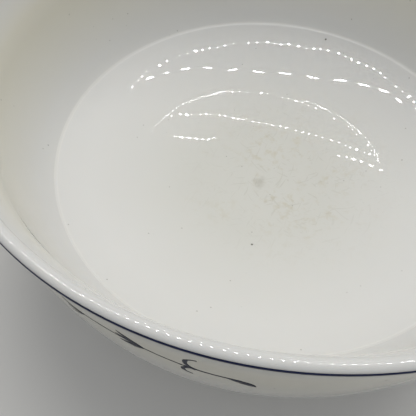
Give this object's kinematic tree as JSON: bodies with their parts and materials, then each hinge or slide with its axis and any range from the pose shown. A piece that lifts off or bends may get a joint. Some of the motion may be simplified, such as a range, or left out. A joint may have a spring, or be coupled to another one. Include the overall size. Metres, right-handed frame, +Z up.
{
  "type": "porcelain serving bowl",
  "caption": "Deep round porcelain bowl with a dished floor, upright wall, rounded flared rim edged with a cobalt line, and a bare standing foot ring.",
  "frame": {"origin": "centre of the foot ring's standing face", "axes": "+Z up along the bowl's axis of turning; +X and +Y are any two directions across the rim"},
  "size_m": [0.24, 0.24, 0.105],
  "materials": {
    "glazed_porcelain": "thin clear glaze fired over warm white porcelain, glossy and slightly wavy",
    "bare_porcelain": "unglazed fired porcelain, dry and slightly rough",
    "cobalt": "dark cobalt brushed under the clear glaze"
  },
  "bodies": {
    "root": {"bowl_body": "glazed_porcelain", "foot_ring": "bare_porcelain", "rim_line": "cobalt"}
  },
  "joints": []
}
